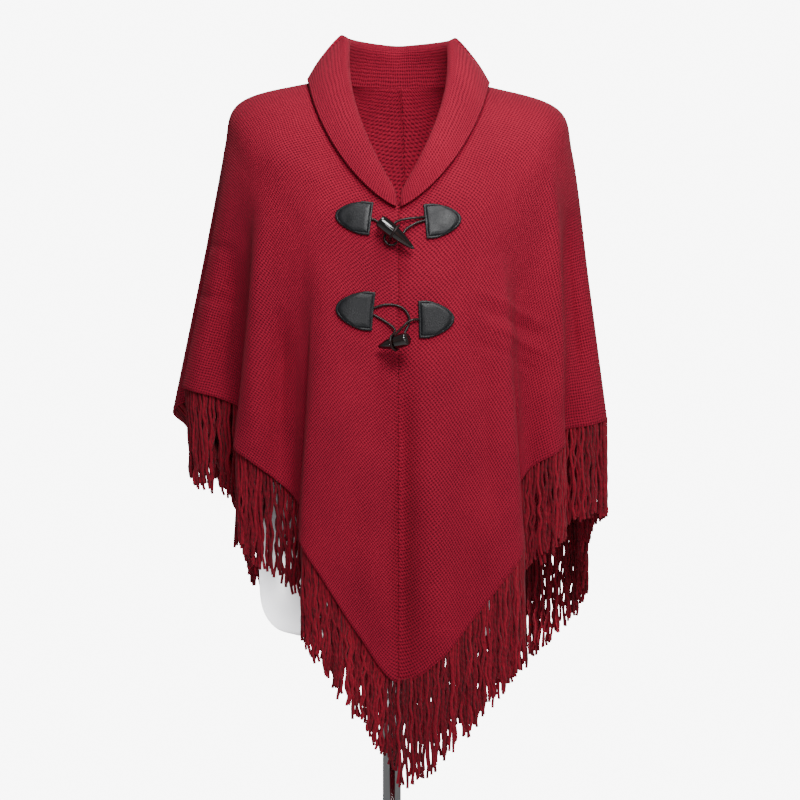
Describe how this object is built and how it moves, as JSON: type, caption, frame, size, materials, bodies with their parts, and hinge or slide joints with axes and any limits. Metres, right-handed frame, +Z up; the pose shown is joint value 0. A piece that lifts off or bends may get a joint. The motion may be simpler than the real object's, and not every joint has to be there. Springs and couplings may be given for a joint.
{
  "type": "shawl-collar fringed poncho on a dress form",
  "caption": "Knitted V-hem poncho with a rolled shawl collar, toggle closures and a long yarn fringe, on a limbless dress form with a pole stand.",
  "frame": {"origin": "centre of the stand's underside, on the floor", "axes": "+Z up along the pole, -Y out of the garment's front, +X to the wearer's left"},
  "size_m": [0.5312, 0.3751, 1.4033],
  "materials": {
    "knit": "crimson wool-acrylic knit, matt, with an open pitted stitch",
    "leather": "black-brown smooth leather, softly shiny",
    "horn": "polished dark brown horn effect",
    "form": "smooth white satin",
    "chrome": "polished"
  },
  "bodies": {
    "root": {"panel_left": "knit", "panel_right": "knit", "collar": "knit", "fringe_front_left": "knit", "fringe_front_right": "knit", "fringe_back_left": "knit", "fringe_back_right": "knit", "tab_upper_right": "leather", "tab_upper_left": "leather", "tab_lower_right": "leather", "tab_lower_left": "leather", "lace_upper_right": "leather", "lace_upper_left": "leather", "lace_lower_right": "leather", "lace_lower_left": "leather", "toggle_upper": "horn", "toggle_lower": "horn", "form_torso": "form", "form_flange": "chrome", "form_socket": "chrome", "stand_pole": "chrome", "stand_boss": "chrome", "stand_base": "chrome"}
  },
  "joints": []
}
